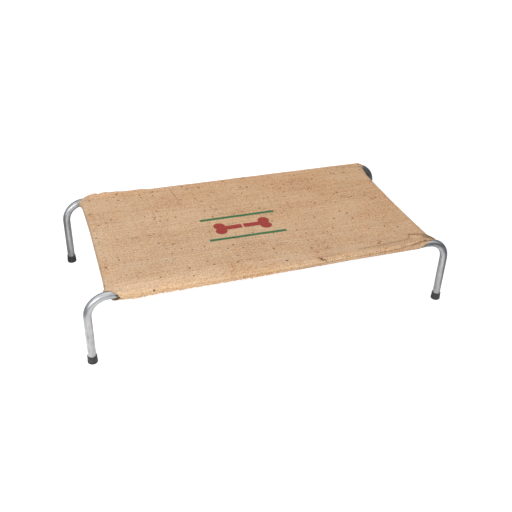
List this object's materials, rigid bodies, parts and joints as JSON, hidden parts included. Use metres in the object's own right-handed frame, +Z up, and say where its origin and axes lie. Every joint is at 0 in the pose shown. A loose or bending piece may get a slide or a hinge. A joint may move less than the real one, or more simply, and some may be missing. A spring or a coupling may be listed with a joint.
{
  "type": "raised dog cot",
  "caption": "Raised dog cot: a hessian cover stretched flat on a slip-together frame of galvanised round tube, with bent-down legs and black push-on foot caps.",
  "frame": {"origin": "on the floor under the middle of the cot", "axes": "+X along the cot's length, +Y across it to the rear, +Z up"},
  "size_m": [0.9244, 0.4602, 0.1923],
  "materials": {
    "galvanised_tube": "galvanised, semi-bright",
    "spigot_steel": "plain drawn tube",
    "weld_metal": "as welded",
    "foot_rubber": "moulded, dull",
    "hessian": "plain-woven jute"
  },
  "bodies": {
    "root": {"front_side_rail": "galvanised_tube", "rear_side_rail": "galvanised_tube", "left_end_rail": "galvanised_tube", "right_end_rail": "galvanised_tube", "front_left_spigot": "spigot_steel", "front_right_spigot": "spigot_steel", "rear_left_spigot": "spigot_steel", "rear_right_spigot": "spigot_steel", "front_left_weld": "weld_metal", "front_right_weld": "weld_metal", "rear_left_weld": "weld_metal", "rear_right_weld": "weld_metal", "front_left_foot": "foot_rubber", "front_right_foot": "foot_rubber", "rear_left_foot": "foot_rubber", "rear_right_foot": "foot_rubber", "cover_top": "hessian", "cover_bottom": "hessian"}
  },
  "joints": []
}
